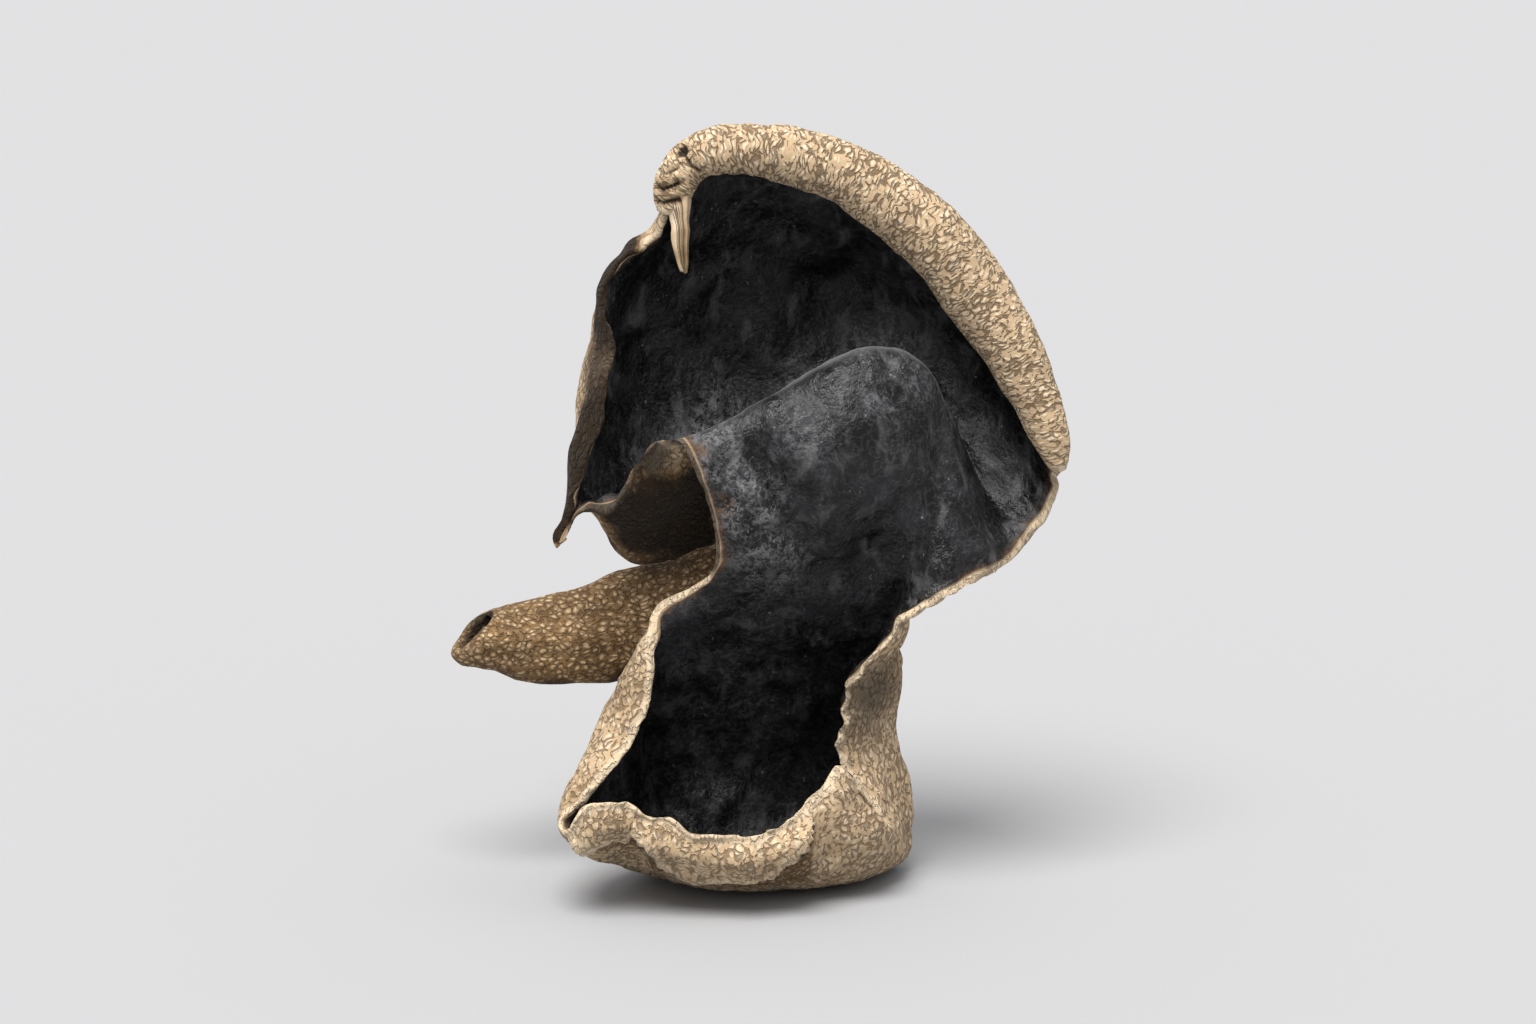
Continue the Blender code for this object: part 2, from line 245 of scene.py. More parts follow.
# Dusty places on the black face: x, y, z, reach and strength. One without a y reaches through the sheet.
DUSTY_PLACES = [
    (-4.2, None, 30.5, 2.4, 1.1), (-2.2, None, 27.5, 2.2, 1.4), (-0.6, None, 23.8, 2.0, 1.2),
    (1.6, None, 33.0, 2.0, 0.4), (7.5, None, 35.5, 2.8, 0.45), (9.2, -2.0, 38.0, 2.2, 0.3),
    (9.0, None, 30.5, 2.2, 0.2), (-12.6, None, 27.5, 2.4, 0.3),
    (-3.0, None, 12.0, 5.0, 0.35), (-6.0, None, 5.0, 4.0, 0.25),
]

# Heights of the finest relief, in millimetres, which is bump in the two materials
FELT_BUMP = 0.16
SKIN_BUMP = 0.35

# The place that the camera looks at, in millimetres
CAMERA_TARGET = (-0.6, 0.0, 25.8)
# The way that the sun's light goes, how far off its lamp hangs, and its look
SUN_DIRECTION = (0.16, 0.5, -1.0)
SUN_DISTANCE = 0.5
SUN_STRENGTH = 4.4
SUN_WIDTH_DEG = 35.0
SUN_COLOUR = (1.0, 0.99, 0.97)
# The room's light from the sides and from overhead
HORIZON_GREY = (0.44, 0.445, 0.465, 1.0)
OVERHEAD_WHITE = (1.15, 1.15, 1.165, 1.0)
# The round floor: its radius in metres and its corners
FLOOR_RADIUS = 3.0
FLOOR_CORNERS = 96


def a_length(name, description, default, least=0.0):
    """A length for the sidebar, given in millimetres."""
    return FloatProperty(
        name=name, description=description, default=default * MM, min=least * MM,
        unit="LENGTH", subtype="DISTANCE",
    )


def a_colour(name, description, *default):
    """A colour for the sidebar, given as red, green and blue."""
    return FloatVectorProperty(
        name=name, description=description, default=(*default, 1.0), min=0.0, max=1.0,
        subtype="COLOR", size=4,
    )


class WoodEarSizes(PropertyGroup):
    """Sizes of the ear's tissue and relief."""

    sheet_thickness: a_length(
        "Sheet thickness", "Thickness of the dried sheet away from its margins", 1.0, 0.2,
    )
    margin_thinning: a_length("Margin thinning", "How much each side draws in at the margin", 0.2)
    fold_depth: a_length("Fold depth", "Height of the soft folds that run from the base to the margin", 0.45)
    ruffle_depth: a_length("Ruffle depth", "Height of the waves along the margins", 0.55)
    crumple_depth: a_length("Crumple depth", "Height of the sharp wrinkles that drying leaves", 0.3)
    felt_relief: a_length("Felt relief", "Height of the furrows in the felt", 0.11)
    vein_height: a_length("Vein height", "Height of the wrinkles over the felted back", 0.38)
    hem_height: a_length("Hem height", "How far the turned-over hem of the front rim stands out", 1.1)
    skin_relief: a_length("Skin relief", "Height of the small wrinkles in the black skin", 0.14)


class WoodEarColours(PropertyGroup):
    """Colours of the felt and of the skin."""

    felt_sand: a_colour("Felt sand", "Main colour of the felt", 0.47, 0.338, 0.205)
    felt_tan: a_colour("Felt tan", "Warmer ground of the base and of the lower felt", 0.175, 0.104, 0.046)
    felt_gold: a_colour("Felt gold", "Colour of the mounds on the warmer felt", 0.50, 0.345, 0.18)
    felt_cream: a_colour("Felt cream", "Colour of the mounds of the felt", 0.70, 0.575, 0.41)
    # Also painted as shade into the furrows of the felt's relief
    crevice_and_shade_brown: a_colour("Crevice brown", "Colour down in the crevices of the felt", 0.07, 0.037, 0.015)
    # Painted deep shade: in the bore, the pits and under the hem, and where 'brown' runs high
    deep_shade_brown: a_colour("Deep brown", "Colour of the deepest hollows", 0.014, 0.009, 0.005)
    stain_grey: a_colour("Stain grey", "Colour of the greyer patches on the felt", 0.042, 0.037, 0.031)
    skin_black: a_colour("Skin black", "Main colour of the smooth face", 0.0024, 0.0024, 0.0028)
    skin_charcoal: a_colour(
        "Skin charcoal", "Colour of the lighter clouds on the smooth face", 0.014, 0.0135, 0.0155,
    )
    # Also the colour of the painted sheen streaks, glints and crest highlight
    dust_and_sheen_grey: a_colour("Dust grey", "Colour of the dust on the ridge", 0.17, 0.168, 0.172)
    worn_brown: a_colour(
        "Worn brown", "Colour where the skin has worn off near a margin", 0.10, 0.055, 0.027,
    )


class WoodEarStage(PropertyGroup):
    """Camera and light of the picture."""

    camera_elevation: FloatProperty(
        name="Camera elevation", description="Angle of the camera above the floor",
        default=math.radians(12.0), unit="ROTATION", subtype="ANGLE",
    )
    camera_distance: FloatProperty(
        name="Camera distance", description="Distance from the camera to the ear",
        default=0.36, min=0.05, unit="LENGTH", subtype="DISTANCE",
    )
    lens: FloatProperty(
        name="Lens", description="Focal length of the camera in millimetres", default=125.0, min=20.0,
    )
    floor_grey: a_colour("Floor", "Colour of the floor", 0.349, 0.350, 0.357)


def in_metres(point):
    """A point given in millimetres, as a vector in metres."""
    return Vector(point[:3]) * MM


def ramp(values, low, high):
    """0 at low, 1 at high, and smooth between them; low may be above high."""
    share = np.clip((values - low) / (high - low), 0.0, 1.0)
    return share * share * (3.0 - 2.0 * share)


# Selecting and shaping a mesh


def deselect_all():
    for thing in bpy.context.selected_objects:
        thing.select_set(False)


def make_active(thing):
    deselect_all()
    thing.select_set(True)
    bpy.context.view_layer.objects.active = thing


def apply_modifier(thing, modifier):
    make_active(thing)
    bpy.ops.object.modifier_apply(modifier=modifier.name)


def subdivide(thing, levels):
    soften = thing.modifiers.new("soften", "SUBSURF")
    soften.levels = levels
    soften.render_levels = levels
    apply_modifier(thing, soften)


def read(items, field, width=1, kind=float):
    """One number, or one row of numbers, from each item."""
    values = np.empty(len(items) * width, dtype=kind)
    items.foreach_get(field, values)
    return values.reshape(-1, width) if width > 1 else values


def read_points(mesh):
    return read(mesh.vertices, "co", 3)


def read_normals(mesh):
    return read(mesh.vertex_normals, "vector", 3)


def write_points(mesh, points):
    mesh.vertices.foreach_set("co", np.ascontiguousarray(points, dtype=np.float32).ravel())
    mesh.update()


def store(mesh, name, values):
    """Keep one number or one vector for each vertex."""
    values = np.asarray(values, dtype=np.float32)
    kind = "FLOAT_VECTOR" if values.ndim == 2 else "FLOAT"
    field = "vector" if values.ndim == 2 else "value"
    layer = mesh.attributes.get(name) or mesh.attributes.new(name, kind, "POINT")
    layer.data.foreach_set(field, values.ravel())


def recall(mesh, name):
    layer = mesh.attributes[name]
    return read(layer.data, "vector", 3) if layer.data_type == "FLOAT_VECTOR" else read(layer.data, "value")


# The sheet


def roll_rows():
    """Rows of points round the top roll, from its loose inner edge back to the wall that it grows from."""
    centres = [in_metres(entry) for entry in ROLL_CENTRES]
    radii = [entry[3] * MM for entry in ROLL_CENTRES]
    front = Vector((0.0, -1.0, 0.0))
    rows = []
    for step in range(ROLL_STEPS + 1):
        share = step / ROLL_STEPS
        angle = math.radians(ROLL_END_DEG + (ROLL_START_DEG - ROLL_END_DEG) * share)
        shrink = 1.0 - ROLL_TIGHTENING * (1.0 - share)
        row = []
        for index, centre in enumerate(centres):
            before = centres[max(index - 1, 0)]
            after = centres[min(index + 1, len(centres) - 1)]
            along = (after - before).normalized()
            outward = front.cross(along).normalized()
            offset = outward * math.cos(angle) + front * math.sin(angle)
            row.append(centre + offset * radii[index] * shrink)
        rows.append(row)
    return rows


def sheet_rows():
    """All rows of the sheet's cage, from the inside of the top roll to the front rim of the scoop."""
    sections = [[point and in_metres(point) for point in section] for section in SECTIONS]
    return roll_rows() + sections


def lengths_over_roll(rows):
    """How far each of the roll's points lies along its centre line and round it, in millimetres."""
    centres = [in_metres(entry) for entry in ROLL_CENTRES]
    along = [0.0]
    for before, after in zip(centres, centres[1:]):
        along.append(along[-1] + (after - before).length / MM)
    lengths = []
    for column, distance in enumerate(along):
        turned = 0.0
        for number, row in enumerate(rows[:ROLL_STEPS + 3]):
            if number:
                turned += (row[column] - rows[number - 1][column]).length / MM
            lengths.append((number, column, distance, turned))
    return lengths


def lay_sheet(name):
    """A grid laid over the sheet's rows, with the cleft cut out of its left margin."""
    rows = sheet_rows()
    deselect_all()
    bpy.ops.mesh.primitive_grid_add(x_subdivisions=COLUMNS - 1, y_subdivisions=len(rows) - 1, size=40.0 * MM)
    sheet = bpy.context.object
    sheet.name = name
    sheet.data.name = name
    lay = np.zeros((len(sheet.data.vertices), 3))
    for number, column, along, turned in lengths_over_roll(rows):
        lay[(len(rows) - 1 - number) * COLUMNS + column, :2] = along, turned
    gaps = []
    for vertex in sheet.data.vertices:
        number = len(rows) - 1 - vertex.index // COLUMNS
        column = vertex.index % COLUMNS
        if rows[number][column] is None:
            gaps.append(vertex.index)
            continue
        vertex.co = rows[number][column]
    store(sheet.data, "lay", lay)
    store(sheet.data, "row", [len(rows) - 1 - index // COLUMNS for index in range(len(lay))])
    crease_crest(sheet.data, len(rows))
    cut_out(sheet, gaps)
    return sheet


def crease_crest(mesh, rows):
    """Sharpen the fold along the ridge's crest."""
    first, last = CREST_COLUMNS
    start = (rows - 1 - CREST_ROW) * COLUMNS
    on_crest = set(range(start + first, start + last + 1))
    crease = mesh.attributes.new("crease_edge", "FLOAT", "EDGE")
    for edge in mesh.edges:
        if set(edge.vertices) <= on_crest:
            crease.data[edge.index].value = CREST_CREASE


def cut_out(sheet, indices):
    make_active(sheet)
    bpy.ops.object.mode_set(mode="EDIT")
    bpy.ops.mesh.select_mode(type="VERT")
    bpy.ops.mesh.select_all(action="DESELECT")
    shape = bmesh.from_edit_mesh(sheet.data)
    shape.verts.ensure_lookup_table()
    for index in indices:
        shape.verts[index].select_set(True)
    bmesh.update_edit_mesh(sheet.data)
    bpy.ops.mesh.delete(type="VERT")
    bpy.ops.object.mode_set(mode="OBJECT")


def measure_inset(mesh):
    """How far each vertex lies from the nearest margin, in millimetres, walked along the edges."""
    shape = bmesh.new()
    shape.from_mesh(mesh)
    shape.verts.ensure_lookup_table()
    distance = [math.inf] * len(shape.verts)
    queue = []
    for vertex in shape.verts:
        if vertex.is_boundary:
            distance[vertex.index] = 0.0
            heapq.heappush(queue, (0.0, vertex.index))
    while queue:
        reached, index = heapq.heappop(queue)
        if reached > distance[index]:
            continue
        for edge in shape.verts[index].link_edges:
            other = edge.other_vert(shape.verts[index]).index
            further = reached + edge.calc_length() / MM
            if further < distance[other]:
                distance[other] = further
                heapq.heappush(queue, (further, other))
    shape.free()
    return distance


def thicken(sheet, thickness):
    """Give the sheet its wall: the face keeps the first material, back and margins get the second."""
    wall = sheet.modifiers.new("wall", "SOLIDIFY")
    wall.thickness = thickness
    wall.offset = 0.0
    wall.use_even_offset = False
    wall.material_offset = 1
    wall.material_offset_rim = 1
    apply_modifier(sheet, wall)


# Forms drawn out of the sheet


def select_round(ear, point, facing):
    """Select the faces round the vertex that is nearest to the point and faces the given way."""
    bpy.ops.mesh.select_mode(type="FACE")
    bpy.ops.mesh.select_all(action="DESELECT")
    shape = bmesh.from_edit_mesh(ear.data)
    shape.normal_update()
    facing = Vector(facing).normalized()
    allowed = [vertex for vertex in shape.verts if vertex.normal.dot(facing) > LEAST_FACING]
    root = min(allowed, key=lambda vertex: (vertex.co - point).length)
    for face in root.link_faces:
        face.select_set(True)
    start = root.co.copy()
    bmesh.update_edit_mesh(ear.data)
    return start


def lift_ring(ear, centre, radius, facing, marks):
    """Extrude the selected patch once more, so that its edge becomes a round ring at the given place."""
    shape = bmesh.from_edit_mesh(ear.data)
    patch = [face for face in shape.faces if face.select]
    middle = sum((face.calc_center_median() for face in patch), Vector()) / len(patch)
    old_facing = sum((face.normal for face in patch), Vector()).normalized()
    bpy.ops.mesh.extrude_region()
    shape = bmesh.from_edit_mesh(ear.data)
    patch = [face for face in shape.faces if face.select]
    corners = {vertex for face in patch for vertex in face.verts}
    turn = old_facing.rotation_difference(facing)
    arms = {}
    for corner in corners:
        arm = corner.co - middle
        arms[corner] = arm - arm.dot(old_facing) * old_facing
    hub = min(corners, key=lambda corner: arms[corner].length)
    layers = {name: shape.verts.layers.float[name] for name in marks}
    for corner, arm in arms.items():
        reach = 0.0 if corner is hub else radius
        corner.co = centre + turn @ (arm.normalized() * reach)
        for name, value in marks.items():
            corner[layers[name]] = value
    for face in patch:
        face.normal_update()
    bmesh.update_edit_mesh(ear.data)


def draw_out(ear, start, rings, marks, end_facing=None):
    """Draw the selected patch out through the rings, and return their centres and radii."""
    centres = [in_metres(ring) for ring in rings]
    radii = [ring[3] * MM for ring in rings]
    behind = start
    for index, centre in enumerate(centres):
        ahead = centres[min(index + 1, len(centres) - 1)]
        last = index == len(centres) - 1
        facing = (ahead - behind).normalized()
        if last and end_facing:
            facing = (facing * HORN_MOUTH_HEADING + end_facing).normalized()
        lift_ring(ear, centre, radii[index], facing, dict(marks, inset=0.0) if last else marks)
        behind = centre
    return centres, radii


def grow_horn(ear):
    """Draw the felted base out of the back of the sheet, then hollow it from its torn mouth."""
    start = select_round(ear, in_metres(HORN_ROOT), (0.0, 1.0, 0.0))
    mouth = Vector(HORN_MOUTH_FACING).normalized()
    centres, radii = draw_out(ear, start, HORN_RINGS, {"horn": 1.0}, mouth)
    bore = [radius - HORN_WALL * MM for radius in radii]
    lip = centres[-1] + mouth * bore[-1] * HORN_MOUTH_RISE
    # The lip and the rings inside the mouth are marked with 'bore', which paints shade into the hollow base
    lift_ring(ear, lip, bore[-1], mouth, {"horn": 1.0, "bore": 0.3, "inset": 0.3})
    for index in reversed(range(len(centres) - HORN_HOLLOW_RINGS, len(centres))):
        facing = (centres[index] - centres[index - 1]).normalized()
        lift_ring(ear, centres[index], bore[index], facing, {"horn": 1.0, "bore": 1.0, "inset": 3.0})


def grow_shred(ear):
    """Draw the thin dried shred out of the stub's inner edge."""
    start = select_round(ear, in_metres(SHRED_ROOT), (0.0, -0.4, -1.0))
    draw_out(ear, start, SHRED_RINGS, {"horn": 0.6})


# Relief


def sample(places, size, shift):
    """Smooth noise from -1 to 1 at each place, with swells of about the given size in millimetres."""
    scaled = places / np.asarray(size) + shift
    return np.array([noise.noise(Vector(place)) for place in scaled])


def drift(places, size, shifts):
    """Slow noise that pushes each place about, from -1 to 1 in each direction."""
    return np.column_stack([sample(places, size, shift) for shift in shifts])


def bell(distances, width):
    """1 at no distance, fading softly to nothing at about twice the width."""
    return np.exp(-(distances / width) ** 2)


def folded(values):
    """Turn smooth noise into sharp creases between rounded swells."""
    return 1.0 - 2.0 * np.abs(values)


def away_from_line(points, line):
    """Distance in millimetres from each x, z place to a line of x, z points."""
    nearest = np.full(len(points), np.inf)
    for start, end in zip(line, line[1:]):
        start = np.array(start)
        run = np.array(end) - start
        share = np.clip((points - start) @ run / (run @ run), 0.0, 1.0)
        nearest = np.minimum(nearest, np.linalg.norm(points - start - share[:, None] * run, axis=1))
    return nearest


def patches(mesh, places):
    """The strongest of the soft round patches at each vertex, from 0 up."""
    points = read_points(mesh) / MM
    strength = np.zeros(len(points))
    for x, y, z, reach, peak in places:
        away = np.hypot(points[:, 0] - x, points[:, 2] - z)
        if y is not None:
            away = np.hypot(away, points[:, 1] - y)
        strength = np.maximum(strength, peak * bell(away, reach))
    return strength


def dark_margin(mesh):
    """1 along the hood's left margin, paler on its small flap, and fading inwards with an uneven border."""
    places = read_points(mesh) / MM
    row = recall(mesh, "row")
    inset = recall(mesh, "inset") + 1.2 * sample(places, 2.2, 4.9)
    on_hood = ramp(row, ROLL_STEPS + 0.8, ROLL_STEPS + 1.3) * ramp(row, CREST_ROW + 0.2, CREST_ROW - 0.2)
    on_left = ramp(places[:, 0], -8.0, -10.0)
    flap = bell(row - FLAP_ROW, 0.4)
    return ramp(inset, 5.6, 0.8) * on_hood * on_left * (1.0 - 0.35 * flap)


def crest_highlight_line(mesh):
    """1 along the fold of the ridge's crest, where a highlight is painted, fading over a fraction of a
    millimetre.
    """
    row = recall(mesh, "row")
    across = read_points(mesh)[:, 0] / MM
    return bell(row - CREST_ROW, 0.09) * ramp(across, -7.0, -4.0) * ramp(across, 13.0, 10.0)


def mark_colours(mesh):
    """Keep how dusty, torn, grey and brown each vertex is, with the painted shade that 'brown' also holds,
    and how near the ridge's crest, where a highlight is painted.
    """
    store(mesh, "dust", patches(mesh, DUSTY_PLACES))
    store(mesh, "crest", crest_highlight_line(mesh))
    store(mesh, "torn", patches(mesh, TORN_PLACES))
    store(mesh, "grey", patches(mesh, GREY_PATCHES))
    # 'brown' holds brown felt and painted shade together: under the lip, behind the cleft, under the base,
    # below the hem, and the darkening along the hood's left margin
    brown = np.maximum(patches(mesh, BROWN_AND_SHADE_PLACES), BELOW_HEM_SHADE_AND_BROWN * recall(mesh, "below"))
    store(mesh, "brown", np.maximum(brown, MARGIN_DARKNESS * dark_margin(mesh)))


def nudge(middle):
    """Shifts, in millimetres, that bend the lip of the ridge and the valley behind it up and down."""
    shift = np.zeros_like(middle)
    for place, move, reach in NUDGES:
        away = np.linalg.norm(middle - np.array(place), axis=1)
        shift += bell(away, reach)[:, None] * np.array(move)
    return shift


def turn_hem(mesh, sizes):
    """Turn the front rim of the scoop over on its outer side, in two lobes with a free lower edge, and mark
    the painted shade under it.
    """
    points = read_points(mesh)
    normals = read_normals(mesh)
    inset = recall(mesh, "inset")
    facing = np.sum(normals * recall(mesh, "front"), axis=1)
    places = points / MM
    depth = np.interp(places[:, 0], HEM_PLACES, HEM_DEPTHS) + 0.5 * sample(places, 1.6, 3.3)
    at_front = ramp(recall(mesh, "row"), HEM_ROW - 0.9, HEM_ROW - 0.2) * ramp(facing, 0.1, -0.3)
    at_front *= ramp(places[:, 1], -5.0, -7.0) * (1.0 - recall(mesh, "horn"))
    turned = at_front * ramp(depth, 0.6, 1.6)
    hem = ramp(inset, depth + 0.2, depth - 0.2) * at_front
    points += (sizes.hem_height * hem * ramp(inset, 0.0, 1.2))[:, None] * normals
    write_points(mesh, points)
    store(mesh, "hem", bell(inset - depth + 0.35, 0.3) * at_front)
    # Painted shadow: a dark line under the hem's free edge, kept in 'bore', and painted shade with brown on
    # the felt below it, kept in 'below'
    store(mesh, "bore", np.maximum(recall(mesh, "bore"), bell(inset - depth - 0.4, 0.45) * turned))
    store(mesh, "below", ramp(inset, depth, depth + 0.6) * turned)


def press_forms(middle, row):
    """Valleys, swells and radial folds of the sheet, in millimetres towards its front."""
    flat = middle[:, [0, 2]]
    height = np.zeros(len(middle))
    for line, width, depth in VALLEYS:
        height -= depth * bell(away_from_line(flat, line), width)
    for x, z, reach, peak in SWELLS:
        height += peak * bell(np.hypot(flat[:, 0] - x, flat[:, 1] - z), reach)
    height *= ramp(row, CREST_ROW + 0.1, CREST_ROW + 0.7)
    arm = flat - np.array(FOLD_CENTRE)
    reach = np.linalg.norm(arm, axis=1)
    heading = arm / np.maximum(reach, 0.5)[:, None]
    folds = FOLD_HEIGHT * sample(np.column_stack([heading * FOLDS_ROUND, reach / FOLD_LENGTH]), 1.0, 11.3)
    above_ridge = ramp(row, CREST_ROW - 0.2, CREST_ROW - 1.4)
    below_ridge = ramp(row, CREST_ROW + 3.0, CREST_ROW + 4.0)
    off_roll = ramp(row, ROLL_STEPS + 0.5, ROLL_STEPS + 2.5)
    return height + folds * ramp(reach, 3.0, 9.0) * np.maximum(above_ridge, below_ridge) * off_roll


def bend_sheet(mesh, sizes):
    """Fold, ruffle and crumple both sides of the sheet together, and thin its margins."""
    points = read_points(mesh)
    normals = read_normals(mesh)
    inset = recall(mesh, "inset")
    on_sheet = 1.0 - recall(mesh, "horn")
    row = recall(mesh, "row")
    front = recall(mesh, "front")
    front /= np.maximum(np.linalg.norm(front, axis=1, keepdims=True), 1e-9)
    facing = np.sum(normals * front, axis=1)
    middle = (points - facing[:, None] * front * sizes.sheet_thickness / 2.0) / MM
    bent = middle + 1.6 * drift(middle, 6.0, (3.7, 9.1, 15.3))
    below_roll = 0.3 + 0.7 * ramp(row, ROLL_STEPS - 0.5, ROLL_STEPS + 2.0)
    off_floor = ramp(points[:, 2], 0.6 * MM, 3.5 * MM)
    folds = sample(bent, (5.5, 5.5, 8.0), 1.3) * sizes.fold_depth * below_roll
    waves = sample(middle, 2.6, 5.9) * np.exp(-inset / 2.2)
    waves += 0.45 * folded(sample(middle, 1.5, 8.3)) * np.exp(-inset / 1.1)
    at_right = ramp(middle[:, 0], 2.5, 5.5) * ramp(middle[:, 2], 25.0, 20.0)
    ruffles = waves * sizes.ruffle_depth * (0.35 + 0.65 * below_roll + 0.9 * at_right)
    crumples = folded(sample(bent, (4.2, 4.2, 5.5), 7.7)) * sizes.crumple_depth * below_roll
    height = (folds + ruffles + crumples + press_forms(middle, row) * MM) * off_floor
    thinning = sizes.margin_thinning * bell(inset, 1.4) * facing
    points += ((height - thinning) * on_sheet)[:, None] * front + nudge(middle) * MM * on_sheet[:, None]
    write_points(mesh, points)


def press_pits(mesh):
    """Press the pit and the creases where the stub folds down from the roll, and mark the painted shade in
    them.
    """
    points = read_points(mesh)
    normals = read_normals(mesh)
    flat = points[:, [0, 2]] / MM
    depth = np.zeros(len(points))
    for line, width, deepest in PITS:
        depth = np.maximum(depth, deepest * bell(away_from_line(flat, line), width))
    depth *= ramp(points[:, 1], -0.2 * MM, -0.8 * MM) * ramp(normals[:, 1], -0.1, -0.4)
    points -= (depth * MM)[:, None] * normals
    write_points(mesh, points)
    store(mesh, "bore", np.maximum(recall(mesh, "bore"), ramp(depth, 0.1, 0.5)))


def crease_horn(mesh):
    """Lengthwise creases and lumps on the felted base."""
    points = read_points(mesh)
    normals = read_normals(mesh)
    horn = ramp(recall(mesh, "horn"), 0.3, 0.9)
    places = points / MM
    creases = folded(sample(places, (9.0, 2.6, 2.6), 2.2)) * 0.28 * MM
    lumps = sample(places, (3.0, 2.2, 2.2), 6.1) * 0.3 * MM
    points += ((creases + lumps) * horn)[:, None] * normals
    write_points(mesh, points)


def felt_sides(mesh):
    """1 where a vertex belongs to felt alone, 0 where it belongs to skin, and between on the border."""
    material = read(mesh.polygons, "material_index", kind=np.int32)
    corners_of_face = read(mesh.polygons, "loop_total", kind=np.int32)
    vertex = read(mesh.loops, "vertex_index", kind=np.int32)
    count = np.bincount(vertex, minlength=len(mesh.vertices))
    felt = np.bincount(vertex, weights=np.repeat(material, corners_of_face), minlength=len(mesh.vertices))
    return felt / np.maximum(count, 1)


def roughen(mesh, sizes):
    """Furrow the felt, raise the wrinkles over its back, and wrinkle the skin."""
    points = read_points(mesh)
    normals = read_normals(mesh)
    lay = recall(mesh, "lay")
    horn = ramp(recall(mesh, "horn"), 0.3, 0.9)
    on_roll = ramp(recall(mesh, "row"), ROLL_STEPS + 1.5, ROLL_STEPS + 0.5) * (1.0 - horn)
    felt = felt_sides(mesh)
    off_floor = ramp(points[:, 2], 0.05 * MM, 0.8 * MM)
    places = points / MM
    push = drift(places, 2.6, (4.4, 8.4, 12.4))
    bent = places + 0.7 * push
    on_sheet = folded(sample(bent, (1.7, 1.7, 2.2), 2.9)) + 0.6 * sample(bent, (0.9, 0.9, 1.1), 5.2)
    round_roll = 0.6 * folded(sample(lay, (1.5, 4.0, 1.0), 2.9)) + 0.5 * sample(lay, (1.0, 1.6, 1.0), 5.2)
    on_horn = folded(sample(bent, (3.2, 1.4, 1.4), 3.1)) + 0.6 * sample(bent, (1.4, 0.9, 0.9), 4.7)
    furrows = on_sheet * (1.0 - horn - on_roll) + on_horn * horn + round_roll * on_roll
    wrinkles = folded(sample(bent, (2.4, 2.4, 3.4), 6.6)) + 0.5 * sample(bent, (1.1, 1.1, 1.4), 1.9)
    veins = folded(sample(places + 1.5 * push, (4.6, 4.6, 7.5), 8.8))
    veins += 0.5 * folded(sample(bent, (2.6, 2.6, 4.0), 3.9))
    on_back = felt * ramp(places[:, 1], 0.5, 3.0) * (1.0 - horn) * (1.0 - on_roll)
    height = furrows * sizes.felt_relief * felt + wrinkles * sizes.skin_relief * (1.0 - felt)
    height += veins * sizes.vein_height * on_back
    points += (height * off_floor)[:, None] * normals
    points[:, 2] = np.maximum(points[:, 2], 0.0)
    write_points(mesh, points)
    store(mesh, "relief", furrows * felt + wrinkles * (1.0 - felt))


# Finishes


def link(tree, source, socket):
    """Connect a socket, or set a plain value."""
    if isinstance(source, bpy.types.NodeSocket):
        tree.links.new(source, socket)
    else:
        socket.default_value = source


def add_node(tree, kind, inputs, **settings):
    """Add a node, set how it works, and give each input a socket or a plain value."""
    node = tree.nodes.new("ShaderNode" + kind)
    for name, value in settings.items():
        setattr(node, name, value)
    for name, value in inputs.items():
        link(tree, value, node.inputs[name])
    return node


def reckon(tree, operation, first, second=0.0):
    return add_node(tree, "Math", {0: first, 1: second}, operation=operation).outputs[0]


def spread(tree, value, low, high, start=0.0, end=1.0):
    """Map a value smoothly from low..high to start..end."""
    inputs = {"Value": value, "From Min": low, "From Max": high, "To Min": start, "To Max": end}
    return add_node(tree, "MapRange", inputs, interpolation_type="SMOOTHSTEP").outputs["Result"]


def tint(tree, share, first, second):
    """Go from the first colour to the second as the share goes from 0 to 1."""
    return add_node(tree, "Mix", {0: share, 6: first, 7: second}, data_type="RGBA").outputs[2]


def mix_values(tree, share, first, second):
    """Go from the first number to the second as the share goes from 0 to 1."""
    return add_node(tree, "Mix", {0: share, 2: first, 3: second}, data_type="FLOAT").outputs[0]


def stretch(tree, vector, scale):
    return add_node(tree, "Mapping", {"Vector": vector, "Scale": scale}).outputs["Vector"]


def place_in_mm(tree):
    return stretch(tree, add_node(tree, "TexCoord", {}).outputs["Object"], [1.0 / MM] * 3)


def grain(tree, vector, scale, detail=2.0, roughness=0.5, output="Fac"):
    inputs = {"Vector": vector, "Scale": scale, "Detail": detail, "Roughness": roughness}
    return add_node(tree, "TexNoise", inputs).outputs[output]


def spots(tree, vector, scale, feature="F1"):
    inputs = {"Vector": vector, "Scale": scale}
    return add_node(tree, "TexVoronoi", inputs, feature=feature).outputs["Distance"]


def attribute(tree, name, output="Fac"):
    return add_node(tree, "Attribute", {}, attribute_name=name).outputs[output]


def wander(tree, vector, scale, amount):
    """Push the pattern about by slow noise, so that its lines curve."""
    push = grain(tree, vector, scale, 1.0, output="Color")
    inputs = {0: push, 1: [amount] * 3, 2: vector}
    return add_node(tree, "VectorMath", inputs, operation="MULTIPLY_ADD").outputs[0]


def new_material(name):
    material = bpy.data.materials.new(name)
    material.use_nodes = True
    tree = material.node_tree
    return material, tree, tree.nodes["Principled BSDF"]


def add_bump(tree, shader, height, distance, strength):
    bump = add_node(tree, "Bump", {"Distance": distance, "Strength": strength, "Height": height})
    link(tree, bump.outputs["Normal"], shader.inputs["Normal"])


